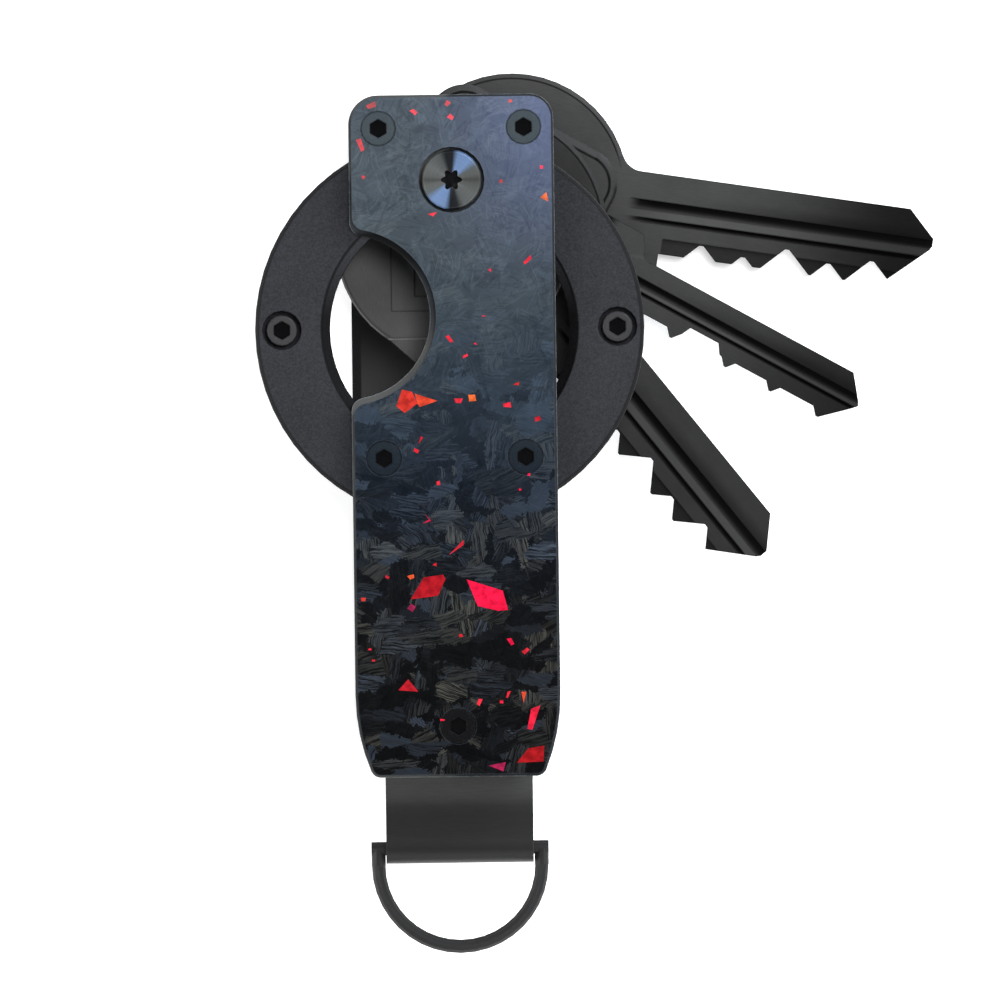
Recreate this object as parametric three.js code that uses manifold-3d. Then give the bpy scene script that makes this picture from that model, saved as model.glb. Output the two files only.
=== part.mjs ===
// Key organiser: four keys swing on one pivot between two plates, under a ring that holds a
// round tracker tag. A D-ring hangs from a folded metal strip at the lower end.
//
// Millimetres. The organiser lies on its back: +Z points out of its front cover, +Y runs along
// the body to the pivot end, +X is to the right of somebody who looks at the front cover.
// The origin is on the pivot axis, in the plane of the outer back face.

import * as THREE from 'three';
import { mergeVertices } from 'three/addons/utils/BufferGeometryUtils.js';
import Module from 'manifold-3d';

const wasm = await Module();
wasm.setup();

// ---------------------------------------------------------------- driving dimensions

const COVER_THICKNESS = 1.2;
const FRAME_THICKNESS = 1.0;
const KEY_THICKNESS = 2.0;
const WASHER_THICKNESS = 0.3;
const WAVE_SPACE = 0.7;
const RUNNING_GAP = 0.1;
const TAG_RING_HEIGHT = 8.2;
const KEY_COUNT = 4;

// Body plates, seen from the front. The left edge has the thumb notch.
const BODY_HALF_WIDTH = 11.92;
const BODY_TOP = 9.88;
const BODY_BOTTOM = -70.8;
const TOP_LEFT_RADIUS = 3.2;
const TOP_RIGHT_RADIUS = 2.6;
const TAPER_START = -61.3;
const TAPER_RADIUS = 23.4;
const BOTTOM_CORNER_RADIUS = 1;
const FRAME_GROW = 0.3;
const NOTCH_CENTRE = new THREE.Vector2(-12.55, -16.2);
const COVER_NOTCH_RADIUS = 10.5;
const FRAME_NOTCH_RADIUS = 9.8;
const NOTCH_END_RADIUS = 1.6;

// Cover screws: countersunk at 90 degrees, with a hexagon socket.
const SCREW = { head: 2.1, headDepth: 1.1, shank: 1.0, socket: 1.12, socketDepth: 0.75 };
const SCREW_CLEARANCE = 0.1;
const CORNER_SCREW_LENGTH = 3.9;
const RING_FIXING_LENGTH = 8.8;
const BOTTOM_SCREW_LENGTH = 17.2;
const BACK_SCREW_LENGTH = 2.1;
const BACK_BOTTOM_LENGTH = 5.2;
const CORNER_SCREW = new THREE.Vector2(8.65, 6.2);
const MIDDLE_SCREW = new THREE.Vector2(8.43, -33.07);
const BOTTOM_SCREW = new THREE.Vector2(0, -65.05);
const BOSS_RADIUS = 2.0;
const BOSS_HEIGHT = 2.0;

// Pivot: a sleeve with a flat head in the back cover, and a screw with a star recess in front.
const PIVOT = { head: 3.56, hole: 3.93, sleeve: 3.0, shank: 1.25, dish: 0.3, rim: 0.25 };
const PIVOT_SCREW_END = 4.0;
const THREAD_FLOOR = 3.0;
const STAR = { radius: 1.08, lobe: 0.22, lobes: 6, depth: 0.95, steps: 48 };
const WASHER_RADIUS = 5.6;
const WAVE_HEIGHT = 0.12;
const WAVE_COUNT = 3;

// Ring for the tracker tag, in two shells, and its two screws.
const RING_CENTRE = new THREE.Vector2(-0.43, -17.67);
const RING = { outer: 23.2, face: 15.3, lip: 14.24, pocket: 16.05, lipDepth: 0.9, edge: 0.4 };
const RING_SCREW_OFFSET = 20.0;
const RING_SCREW = { head: 1.9, headDepth: 1.3, edge: 0.2, shank: 1.1, length: 6.2 };
const RING_SOCKET = { radius: 1.12, depth: 0.9 };
const RING_RECESS = { radius: 2.35, depth: 1.7 };

// Lower end: spacers, the folded strip and the D-ring.
const SPACER = { halfWidth: 8.75, top: -60, bottom: -70, corner: 1.2 };
const STRIP = { halfWidth: 8.8, top: -61, thickness: 0.7, inner: 1.1 };
const D_RING = { rod: 0.85, halfWidth: 9.75, bar: -79.7, arc: -81.73 };

// Keys, drawn with the pivot at the origin and the blade along +X. The cut edge is at -Y.
const BOW = { radius: 14.0, centre: 7.26, edge: 0.45 };
const BLADE = { top: 4.4, low: -5.15, shoulder: 25.7, tip: 58.1, tipTop: 54.9 };
const BLADE_NOSE = [[-0.3, -0.2], [0, 0.3], [0, 1.2]];
const NECK = { low: -7.5, topFillet: 2.6, lowFillet: 1.5 };
const CUTS = { first: 30.7, pitch: 5.12, step: 0.333, flat: 0.5, tipDiagonal: 57.6 };
const LAND = { start: 26.0, height: 1.85, depth: 0.35 };
const GROOVE_DEPTH = 0.55;
const GROOVE_RUNOUT = 3.0;
const WIDE_GROOVES = [
  { start: 21.4, low: -0.05, high: 1.1 },
  { start: 22.6, low: -1.6, high: -1.05 },
];

// The folded key has a shallow step at the root of its blade, sunk panels in its bow, and a
// lower neck that tapers straight into a lower blade.
const STEP = { start: 18.7, depth: 0.3 };
const FOLDED_BLADE_LOW = -3.9;
const FOLDED_NECK = { x: 19.08, y: -7.5, bladeX: 22.3 };
const PANEL = { start: 6.4, end: 15.5, halfWidth: 7.37, depth: 0.14 };
const INNER_PANEL = { start: 6.4, end: 13.75, halfWidth: 4.6, depth: 0.3 };

// The narrow key has a squarer bow and small pointed teeth.
const SMALL_BOW = { left: -6.5, right: 18.1, halfWidth: 11.5, corner: 3.5, bevel: 0.9, rise: 0.4 };
const SMALL_BLADE = { top: 2.74, low: -3.05, shoulder: 24.3, tip: 55.6, neck: 5.4, tipTop: 53.2 };
const SMALL_NOSE = [[-0.6, -1.2], [0, -0.6], [-0.2, -0.1]];
const SMALL_NECK_FILLET = 1.0;
const SMALL_TEETH = { drop: 0.94, halfWidth: 0.95, halfFlat: 0.15 };
const FIRST_TOOTH = 31.9;
const OTHER_TEETH = [39.3, 45.4, 51.8];
const GULLET = [[32.9, 0], [33.5, 1.2], [37.3, 1.2], [38.1, 0]];
const SMALL_GROOVES = [
  { start: 18.6, low: -0.36, high: 0.62 },
  { start: 18.6, low: -1.25, high: -0.85 },
];

// Angle of each blade from +X, from the key at the back to the key at the front.
const KEYS = [
  { name: 'key_top', angle: -8.7, wide: true, code: [5, 3, 8, 5, 8] },
  { name: 'key_middle', angle: -29.1, wide: false },
  { name: 'key_lower', angle: -51.5, wide: true, code: [3, 5, 8, 5, 8] },
  { name: 'key_folded', angle: -90, wide: true, code: [6, 2, 4, 7, 5], folded: true },
];

// How finely round shapes are divided: degrees for each step of an arc, or sides.
const ARC_STEP = 6;
const SMALL_SIDES = 16;
const PIVOT_SIDES = 24;
const BOW_SIDES = 48;
const RING_SIDES = 60;
const ROD_SIDES = 10;
const BEND_STEPS = 20;
const OVERCUT = 0.5;

// ---------------------------------------------------------------- levels through the stack

const BAY_FLOOR = COVER_THICKNESS + FRAME_THICKNESS;
const KEY_PITCH = KEY_THICKNESS + WASHER_THICKNESS + 2 * RUNNING_GAP;
const RING_BACK = BAY_FLOOR + KEY_COUNT * KEY_PITCH + WAVE_SPACE - RUNNING_GAP;
const RING_FRONT = RING_BACK + TAG_RING_HEIGHT;
const RING_SPLIT = (RING_BACK + RING_FRONT) / 2;
const FRAME_TOP = RING_FRONT + FRAME_THICKNESS;
const FRONT_FACE = FRAME_TOP + COVER_THICKNESS;
const STRIP_LEVEL = FRONT_FACE / 2;

// ---------------------------------------------------------------- materials

function finish(color, roughness, metalness) {
  return () => new THREE.MeshStandardMaterial({ color, roughness, metalness });
}

const carbon = finish(0x2a313d, 0.35, 0.1);
const frameMetal = finish(0x3b3f45, 0.45, 0.9);
const ringMetal = finish(0x2f3136, 0.6, 0.8);
const keyMetal = finish(0x484848, 0.45, 0.9);
const screwMetal = finish(0x2b3238, 0.3, 1.0);
const pivotMetal = finish(0x3c4754, 0.25, 1.0);
const washerMetal = finish(0x8a7a4e, 0.4, 1.0);
const stripMetal = finish(0x2e2e30, 0.45, 0.9);

// ---------------------------------------------------------------- solids and booleans

// Makes a closed solid from a geometry class: only positions, shared points, faces outwards.
function solidOf(geometry) {
  const bare = geometry.clone();
  bare.deleteAttribute('normal');
  bare.deleteAttribute('uv');
  const merged = mergeVertices(bare);
  const position = merged.attributes.position;
  const corner = [new THREE.Vector3(), new THREE.Vector3(), new THREE.Vector3()];
  const triangles = [];
  let volume = 0;
  for (let i = 0; i < merged.index.count; i += 3) {
    const face = [0, 1, 2].map((k) => merged.index.getX(i + k));
    if (new Set(face).size < 3) continue;
    face.forEach((vertex, k) => corner[k].fromBufferAttribute(position, vertex));
    volume += corner[0].dot(corner[1].cross(corner[2]));
    triangles.push(face);
  }
  const outwards = volume > 0 ? triangles : triangles.map(([a, b, c]) => [a, c, b]);
  return new wasm.Manifold(new wasm.Mesh({
    numProp: 3,
    vertProperties: new Float32Array(position.array),
    triVerts: new Uint32Array(outwards.flat()),
  }));
}

function joined(first, ...others) {
  return others.reduce((whole, piece) => whole.add(piece), first);
}

function cut(first, ...tools) {
  return tools.reduce((whole, tool) => whole.subtract(tool), first);
}

// Points on a round stretch, with the angles in degrees.
function arc(x, y, radius, from, to) {
  const steps = Math.max(2, Math.ceil(Math.abs(to - from) / ARC_STEP));
  return Array.from({ length: steps + 1 }, (_, i) => {
    const angle = THREE.MathUtils.degToRad(THREE.MathUtils.lerp(from, to, i / steps));
    return new THREE.Vector2(x + radius * Math.cos(angle), y + radius * Math.sin(angle));
  });
}

// A flat piece with the given outline, between two levels of z.
function plate(points, bottom, top) {
  const shape = new THREE.Shape(points);
  const geometry = new THREE.ExtrudeGeometry(shape, { depth: top - bottom, bevelEnabled: false });
  return solidOf(geometry.translate(0, 0, bottom));
}

function box(x0, x1, y0, y1, z0, z1) {
  const geometry = new THREE.BoxGeometry(x1 - x0, y1 - y0, z1 - z0);
  return solidOf(geometry.translate((x0 + x1) / 2, (y0 + y1) / 2, (z0 + z1) / 2));
}

// A piece turned about an axis along z. Each profile point is [radius, z].
function turned(profile, at, sides) {
  const points = profile.map(([radius, z]) => new THREE.Vector2(radius, z));
  const geometry = new THREE.LatheGeometry(points, sides);
  return solidOf(geometry.rotateX(Math.PI / 2).translate(at.x, at.y, 0));
}

function disc(radius, bottom, top, at, sides = SMALL_SIDES) {
  return turned([[0, bottom], [radius, bottom], [radius, top], [0, top]], at, sides);
}

// A ring with a rectangular section.
function washer(bore, outer, bottom, top, at, sides) {
  const profile = [[bore, bottom], [outer, bottom], [outer, top], [bore, top], [bore, bottom]];
  return turned(profile, at, sides);
}

// A piece drawn in x and z, as wide as the stretch from y0 to y1.
function sideways(points, y0, y1) {
  const geometry = new THREE.ExtrudeGeometry(new THREE.Shape(points), {
    depth: y1 - y0,
    bevelEnabled: false,
  });
  return solidOf(geometry.rotateX(Math.PI / 2).translate(0, y1, 0));
}

const organiser = new THREE.Group();

// Adds one named piece, and gives its mesh back so that it can be placed.
function addPiece(name, solid, material) {
  const { vertProperties, triVerts } = solid.getMesh();
  const geometry = new THREE.BufferGeometry();
  geometry.setAttribute('position', new THREE.BufferAttribute(vertProperties, 3));
  geometry.setIndex(new THREE.BufferAttribute(triVerts, 1));
  geometry.computeVertexNormals();
  const mesh = new THREE.Mesh(geometry, material());
  mesh.name = name;
  organiser.add(mesh);
  return mesh;
}

const ORIGIN = new THREE.Vector2(0, 0);

// ---------------------------------------------------------------- covers and frames

// The outline of a body plate, offset outwards by grow, with its notch on the left.
function bodyOutline(grow, notchRadius) {
  const side = BODY_HALF_WIDTH + grow;
  const top = BODY_TOP + grow;
  const leftRadius = TOP_LEFT_RADIUS + grow;
  const rightRadius = TOP_RIGHT_RADIUS + grow;
  const cornerRadius = BOTTOM_CORNER_RADIUS + grow;
  const taperX = BODY_HALF_WIDTH - TAPER_RADIUS;
  const innerRadius = TAPER_RADIUS - BOTTOM_CORNER_RADIUS;
  const cornerY = BODY_BOTTOM + BOTTOM_CORNER_RADIUS;
  const sweepAngle = Math.asin((TAPER_START - cornerY) / innerRadius);
  const sweep = THREE.MathUtils.radToDeg(sweepAngle);
  const cornerX = taperX + innerRadius * Math.cos(sweepAngle);
  const taper = TAPER_RADIUS + grow;

  const endX = NOTCH_END_RADIUS - side;
  const reach = notchRadius + NOTCH_END_RADIUS;
  const endAngle = Math.acos((endX - NOTCH_CENTRE.x) / reach);
  const endY = reach * Math.sin(endAngle);
  const turn = THREE.MathUtils.radToDeg(endAngle);
  const { x: notchX, y: notchY } = NOTCH_CENTRE;

  return [
    ...arc(side - rightRadius, top - rightRadius, rightRadius, 0, 90),
    ...arc(leftRadius - side, top - leftRadius, leftRadius, 90, 180),
    ...arc(endX, notchY + endY, NOTCH_END_RADIUS, 180, 180 + turn),
    ...arc(notchX, notchY, notchRadius, turn, -turn),
    ...arc(endX, notchY - endY, NOTCH_END_RADIUS, 180 - turn, 180),
    ...arc(-taperX, TAPER_START, taper, 180, 180 + sweep),
    ...arc(-cornerX, cornerY, cornerRadius, 180 + sweep, 270),
    ...arc(cornerX, cornerY, cornerRadius, 270, 360 - sweep),
    ...arc(taperX, TAPER_START, taper, -sweep, 0),
  ];
}

const COVER_OUTLINE = bodyOutline(0, COVER_NOTCH_RADIUS);
const FRAME_OUTLINE = bodyOutline(FRAME_GROW, FRAME_NOTCH_RADIUS);

const SCREW_PLACES = [
  { name: 'top_left', at: new THREE.Vector2(-CORNER_SCREW.x, CORNER_SCREW.y) },
  { name: 'top_right', at: CORNER_SCREW },
  { name: 'middle_left', at: new THREE.Vector2(-MIDDLE_SCREW.x, MIDDLE_SCREW.y) },
  { name: 'middle_right', at: MIDDLE_SCREW },
  { name: 'bottom', at: BOTTOM_SCREW },
];

// The hole for a countersunk screw in a cover whose outer face is at z = 0 and faces +z.
function countersink(at) {
  const head = SCREW.head + SCREW_CLEARANCE;
  const shank = SCREW.shank + SCREW_CLEARANCE;
  const profile = [
    [0, -COVER_THICKNESS - OVERCUT],
    [shank, -COVER_THICKNESS - OVERCUT],
    [shank, -SCREW.headDepth],
    [head, 0],
    [head, OVERCUT],
    [0, OVERCUT],
  ];
  return turned(profile, at, SMALL_SIDES);
}

// A cover with its outer face at z = 0, facing +z.
function coverSolid() {
  const blank = plate(COVER_OUTLINE, -COVER_THICKNESS, 0);
  const pivotHole = disc(PIVOT.hole, -COVER_THICKNESS - OVERCUT, OVERCUT, ORIGIN, PIVOT_SIDES);
  return cut(blank, pivotHole, ...SCREW_PLACES.map(({ at }) => countersink(at)));
}

// A frame with its outer face at z = 0, facing +z. The front one has a threaded boss behind
// each of its two top corner screws.
function frameSolid(pivotBore, bossPlaces) {
  const hole = SCREW.shank + SCREW_CLEARANCE;
  const depth = -FRAME_THICKNESS - BOSS_HEIGHT;
  const blank = joined(
    plate(FRAME_OUTLINE, -FRAME_THICKNESS, 0),
    ...bossPlaces.map(({ at }) => disc(BOSS_RADIUS, depth, -FRAME_THICKNESS / 2, at)),
  );
  return cut(
    blank,
    disc(pivotBore, depth - OVERCUT, OVERCUT, ORIGIN, PIVOT_SIDES),
    ...SCREW_PLACES.map(({ at }) => disc(hole, depth - OVERCUT, OVERCUT, at)),
  );
}

// Screws have their top face at z = 0 and point down.
function coverScrew(length) {
  const { head, headDepth, shank } = SCREW;
  const body = turned([
    [0, -length],
    [shank, -length],
    [shank, -headDepth],
    [head, 0],
    [0, 0],
  ], ORIGIN, SMALL_SIDES);
  return cut(body, hexagonSocket(SCREW.socket, SCREW.socketDepth));
}

function hexagonSocket(radius, depth) {
  const geometry = new THREE.CylinderGeometry(radius, radius, depth + OVERCUT, 6);
  const middle = (OVERCUT - depth) / 2;
  return solidOf(geometry.rotateX(Math.PI / 2).translate(0, 0, middle));
}

// Places a piece of the front, whose outer face is drawn at z = 0.
function onFront(mesh, at = ORIGIN, level = FRONT_FACE) {
  mesh.position.set(at.x, at.y, level);
}

// Places a piece of the back: the same part, turned over about the length of the body.
function onBack(mesh, at = ORIGIN, level = 0) {
  mesh.position.set(at.x, at.y, level);
  mesh.rotation.y = Math.PI;
}

onFront(addPiece('front_cover', coverSolid(), carbon));
onBack(addPiece('back_cover', coverSolid(), carbon));

const frontBore = PIVOT.shank + SCREW_CLEARANCE;
const backBore = PIVOT.sleeve + SCREW_CLEARANCE;
const frontFrame = frameSolid(frontBore, SCREW_PLACES.slice(0, 2));
onFront(addPiece('front_frame', frontFrame, frameMetal), ORIGIN, FRAME_TOP);
onBack(addPiece('back_frame', frameSolid(backBore, []), frameMetal), ORIGIN, COVER_THICKNESS);

const FRONT_LENGTHS = {
  top_left: CORNER_SCREW_LENGTH,
  top_right: CORNER_SCREW_LENGTH,
  middle_left: RING_FIXING_LENGTH,
  middle_right: RING_FIXING_LENGTH,
  bottom: BOTTOM_SCREW_LENGTH,
};

for (const { name, at } of SCREW_PLACES) {
  const backLength = name === 'bottom' ? BACK_BOTTOM_LENGTH : BACK_SCREW_LENGTH;
  onFront(addPiece(`front_screw_${name}`, coverScrew(FRONT_LENGTHS[name]), screwMetal), at);
  onBack(addPiece(`back_screw_${name}`, coverScrew(backLength), screwMetal), at);
}

// ---------------------------------------------------------------- pivot, washers

const SLEEVE_TOP = RING_BACK;

function pivotSleeve() {
  const profile = [
    [0, 0],
    [PIVOT.head - PIVOT.rim, 0],
    [PIVOT.head, PIVOT.rim],
    [PIVOT.head, COVER_THICKNESS],
    [PIVOT.sleeve, COVER_THICKNESS],
    [PIVOT.sleeve, SLEEVE_TOP],
    [0, SLEEVE_TOP],
  ];
  const bore = PIVOT.shank + SCREW_CLEARANCE;
  const thread = disc(bore, THREAD_FLOOR, SLEEVE_TOP + OVERCUT, ORIGIN, PIVOT_SIDES);
  return cut(turned(profile, ORIGIN, PIVOT_SIDES), thread);
}

// A six-lobed recess for a star driver.
function starRecess() {
  const points = Array.from({ length: STAR.steps }, (_, i) => {
    const angle = (2 * Math.PI * i) / STAR.steps;
    const radius = STAR.radius + STAR.lobe * Math.cos(STAR.lobes * angle);
    return new THREE.Vector2(radius * Math.cos(angle), radius * Math.sin(angle));
  });
  return plate(points, FRONT_FACE - STAR.depth, FRONT_FACE + OVERCUT);
}

function pivotScrew() {
  const seat = FRAME_TOP;
  const profile = [
    [0, PIVOT_SCREW_END],
    [PIVOT.shank, PIVOT_SCREW_END],
    [PIVOT.shank, seat],
    [PIVOT.head, seat],
    [PIVOT.head, FRONT_FACE - PIVOT.rim],
    [PIVOT.head - PIVOT.rim, FRONT_FACE],
    [0, FRONT_FACE - PIVOT.dish],
  ];
  return cut(turned(profile, ORIGIN, PIVOT_SIDES), starRecess());
}

// A springy washer: three waves round its edge.
function waveWasher(level) {
  const bore = PIVOT.sleeve + RUNNING_GAP;
  const half = WASHER_THICKNESS / 2;
  const points = [
    new THREE.Vector2(bore, -half),
    new THREE.Vector2(WASHER_RADIUS, -half),
    new THREE.Vector2(WASHER_RADIUS, half),
    new THREE.Vector2(bore, half),
    new THREE.Vector2(bore, -half),
  ];
  const geometry = new THREE.LatheGeometry(points, PIVOT_SIDES).rotateX(Math.PI / 2);
  const position = geometry.attributes.position;
  for (let i = 0; i < position.count; i += 1) {
    const angle = Math.atan2(position.getY(i), position.getX(i));
    position.setZ(i, position.getZ(i) + level + WAVE_HEIGHT * Math.cos(WAVE_COUNT * angle));
  }
  return solidOf(geometry);
}

addPiece('pivot_sleeve', pivotSleeve(), screwMetal);
addPiece('pivot_screw', pivotScrew(), pivotMetal);

for (let layer = 0; layer < KEY_COUNT; layer += 1) {
  const bottom = BAY_FLOOR + layer * KEY_PITCH;
  const bore = PIVOT.sleeve + RUNNING_GAP;
  const solid = washer(bore, WASHER_RADIUS, bottom, bottom + WASHER_THICKNESS, ORIGIN, PIVOT_SIDES);
  addPiece(`friction_washer_${layer + 1}`, solid, washerMetal);
}
const WAVE_LEVEL = RING_BACK - WASHER_THICKNESS / 2 - WAVE_HEIGHT;
addPiece('wave_washer', waveWasher(WAVE_LEVEL), washerMetal);

// ---------------------------------------------------------------- ring for the tracker tag

// One shell, placed in the plane of the body, with its pocket at z = 0 and its face at +z.
function ringShell() {
  const height = TAG_RING_HEIGHT / 2;
  const profile = [
    [RING.pocket, 0],
    [RING.outer, 0],
    [RING.outer, height - RING.edge],
    [RING.outer - RING.edge, height],
    [RING.face, height],
    [RING.lip, height - RING.lipDepth],
    [RING.pocket, height - RING.lipDepth],
    [RING.pocket, 0],
  ];
  const through = (shank, at) => (
    disc(shank + SCREW_CLEARANCE, -OVERCUT, height + OVERCUT, at)
  );
  return cut(
    turned(profile, RING_CENTRE, RING_SIDES),
    through(PIVOT.shank, ORIGIN),
    through(SCREW.shank, MIDDLE_SCREW),
    through(SCREW.shank, new THREE.Vector2(-MIDDLE_SCREW.x, MIDDLE_SCREW.y)),
    ...[-1, 1].map((side) => through(RING_SCREW.shank, ringScrewPlace(side))),
  );
}

function ringScrewPlace(side) {
  return new THREE.Vector2(RING_CENTRE.x + side * RING_SCREW_OFFSET, RING_CENTRE.y);
}

function recess(side) {
  const height = TAG_RING_HEIGHT / 2;
  const floor = height - RING_RECESS.depth;
  return disc(RING_RECESS.radius, floor, height + OVERCUT, ringScrewPlace(side));
}

// A cylinder-head screw with its top face at z = 0.
function ringScrew() {
  const { head, headDepth, edge, shank, length } = RING_SCREW;
  const body = turned([
    [0, -length],
    [shank, -length],
    [shank, -headDepth],
    [head, -headDepth],
    [head, -edge],
    [head - edge, 0],
    [0, 0],
  ], ORIGIN, SMALL_SIDES);
  return cut(body, hexagonSocket(RING_SOCKET.radius, RING_SOCKET.depth));
}

const frontShell = cut(ringShell(), recess(-1), recess(1));
addPiece('tag_ring_front', frontShell, ringMetal).position.z = RING_SPLIT;
const rearShell = ringShell().mirror([0, 0, 1]);
addPiece('tag_ring_rear', rearShell, ringMetal).position.z = RING_SPLIT;

const RING_SCREW_LEVEL = RING_FRONT - RING_RECESS.depth + RING_SCREW.headDepth;
for (const [name, side] of [['left', -1], ['right', 1]]) {
  const screw = addPiece(`ring_screw_${name}`, ringScrew(), screwMetal);
  onFront(screw, ringScrewPlace(side), RING_SCREW_LEVEL);
}

// ---------------------------------------------------------------- keys

// The bow's rim meets a straight edge at height y in a hollow fillet. Points go from the edge
// to the rim.
function neckFillet(y, fillet) {
  const side = Math.sign(y);
  const centreY = y + side * fillet;
  const centreX = BOW.centre + Math.sqrt((BOW.radius + fillet) ** 2 - centreY ** 2);
  const rimAngle = Math.atan2(-centreY, BOW.centre - centreX);
  const rim = THREE.MathUtils.radToDeg(rimAngle);
  return arc(centreX, centreY, fillet, -side * 90, rim);
}

function placed(points, tip) {
  return points.map(([x, y]) => new THREE.Vector2(tip + x, y));
}

// The cut edge of a wide blade, from its shoulder to the last tooth.
function cutEdge(code, low) {
  const points = [new THREE.Vector2(BLADE.shoulder, low)];
  code.forEach((number, index) => {
    const x = CUTS.first + index * CUTS.pitch;
    const depth = number * CUTS.step;
    const floor = low + depth;
    const left = x - CUTS.flat / 2;
    const right = x + CUTS.flat / 2;
    points.push(new THREE.Vector2(left - depth, low));
    points.push(new THREE.Vector2(left, floor));
    points.push(new THREE.Vector2(right, floor));
    const last = index === code.length - 1;
    const toothX = last ? (floor + right + CUTS.tipDiagonal) / 2 : right + depth;
    points.push(new THREE.Vector2(toothX, floor - (toothX - right)));
  });
  return points;
}

// The lower side of the neck, from the bow to the shoulder of the blade.
function lowerNeck(folded) {
  if (folded) {
    return [
      new THREE.Vector2(FOLDED_NECK.x, FOLDED_NECK.y),
      new THREE.Vector2(FOLDED_NECK.bladeX, FOLDED_BLADE_LOW),
    ];
  }
  return [
    ...neckFillet(NECK.low, NECK.lowFillet).reverse(),
    new THREE.Vector2(BLADE.shoulder, NECK.low),
  ];
}

function wideBlade(code, low, folded) {
  const outline = [
    ...cutEdge(code, low),
    ...placed(BLADE_NOSE, BLADE.tip),
    new THREE.Vector2(BLADE.tipTop, BLADE.top),
    ...neckFillet(BLADE.top, NECK.topFillet),
    new THREE.Vector2(BOW.centre, 0),
    ...lowerNeck(folded),
  ];
  return plate(outline, 0, KEY_THICKNESS);
}

function roundBow() {
  const { radius, edge, centre } = BOW;
  const rimTop = KEY_THICKNESS - edge / 2;
  const profile = [
    [0, 0],
    [radius - edge, 0],
    [radius, edge / 2],
    [radius, rimTop],
    [radius - edge, KEY_THICKNESS],
    [0, KEY_THICKNESS],
  ];
  return turned(profile, new THREE.Vector2(centre, 0), BOW_SIDES);
}

// A channel along both faces of a blade that runs out in a slope at its inner end.
function groove({ start, low, high }) {
  const end = BLADE.tip + OVERCUT;
  const deep = start + GROOVE_RUNOUT;
  const front = [
    new THREE.Vector2(start, KEY_THICKNESS),
    new THREE.Vector2(deep, KEY_THICKNESS - GROOVE_DEPTH),
    new THREE.Vector2(end, KEY_THICKNESS - GROOVE_DEPTH),
    new THREE.Vector2(end, KEY_THICKNESS + OVERCUT),
    new THREE.Vector2(start, KEY_THICKNESS + OVERCUT),
  ];
  const back = front.map(({ x, y }) => new THREE.Vector2(x, KEY_THICKNESS - y));
  return [sideways(front, low, high), sideways(back, low, high)];
}

// Lowers both faces over a rectangle.
function facesLowered(x0, x1, y0, y1, depth) {
  return [
    box(x0, x1, y0, y1, KEY_THICKNESS - depth, KEY_THICKNESS + OVERCUT),
    box(x0, x1, y0, y1, -OVERCUT, depth),
  ];
}

function pivotBore() {
  return disc(PIVOT.sleeve + RUNNING_GAP, -OVERCUT, KEY_THICKNESS + OVERCUT, ORIGIN, PIVOT_SIDES);
}

// A rectangular sunk panel with a deeper one inside it, on the front of the bow.
function bowPanels() {
  return [PANEL, INNER_PANEL].map(({ start, end, halfWidth, depth }) => (
    box(start, end, -halfWidth, halfWidth, KEY_THICKNESS - depth, KEY_THICKNESS + OVERCUT)
  ));
}

function wideKey({ code, folded }) {
  const low = folded ? FOLDED_BLADE_LOW : BLADE.low;
  const end = BLADE.tip + OVERCUT;
  const step = facesLowered(STEP.start, end, -BOW.radius, BOW.radius, STEP.depth);
  return cut(
    joined(roundBow(), wideBlade(code, low, folded)),
    pivotBore(),
    ...WIDE_GROOVES.flatMap(groove),
    ...facesLowered(LAND.start, end, low - OVERCUT, low + LAND.height, LAND.depth),
    ...(folded ? [...step, ...bowPanels()] : []),
  );
}

function pointedTooth(x) {
  const { drop, halfWidth, halfFlat } = SMALL_TEETH;
  const { low } = SMALL_BLADE;
  return [
    new THREE.Vector2(x - halfWidth, low),
    new THREE.Vector2(x - halfFlat, low - drop),
    new THREE.Vector2(x + halfFlat, low - drop),
    new THREE.Vector2(x + halfWidth, low),
  ];
}

// The cut edge of the narrow blade, from its shoulder to the last tooth.
function pointedEdge() {
  const { low, shoulder } = SMALL_BLADE;
  return [
    new THREE.Vector2(shoulder, low),
    ...pointedTooth(FIRST_TOOTH),
    ...GULLET.map(([x, depth]) => new THREE.Vector2(x, low + depth)),
    ...OTHER_TEETH.flatMap(pointedTooth).slice(0, -1),
  ];
}

function narrowKey() {
  const { top, shoulder, tip, neck, tipTop } = SMALL_BLADE;
  const fillet = SMALL_NECK_FILLET;
  const blade = plate([
    ...pointedEdge(),
    ...placed(SMALL_NOSE, tip),
    new THREE.Vector2(tipTop, top),
    ...arc(shoulder + fillet, top + fillet, fillet, 270, 180),
    new THREE.Vector2(shoulder - fillet, neck),
    new THREE.Vector2(0, neck),
    new THREE.Vector2(0, -neck),
    new THREE.Vector2(shoulder, -neck),
  ], 0, KEY_THICKNESS);
  return cut(joined(squareBow(), blade), pivotBore(), ...SMALL_GROOVES.flatMap(groove));
}

function squareBow() {
  const { left, right, halfWidth, corner, bevel, rise } = SMALL_BOW;
  const inset = corner + bevel;
  const outline = new THREE.Shape([
    ...arc(right - inset, halfWidth - inset, corner, 0, 90),
    ...arc(left + inset, halfWidth - inset, corner, 90, 180),
    ...arc(left + inset, inset - halfWidth, corner, 180, 270),
    ...arc(right - inset, inset - halfWidth, corner, 270, 360),
  ]);
  const geometry = new THREE.ExtrudeGeometry(outline, {
    depth: KEY_THICKNESS - 2 * rise,
    bevelEnabled: true,
    bevelThickness: rise,
    bevelSize: bevel,
    bevelSegments: 1,
  });
  return solidOf(geometry.translate(0, 0, rise));
}

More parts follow.
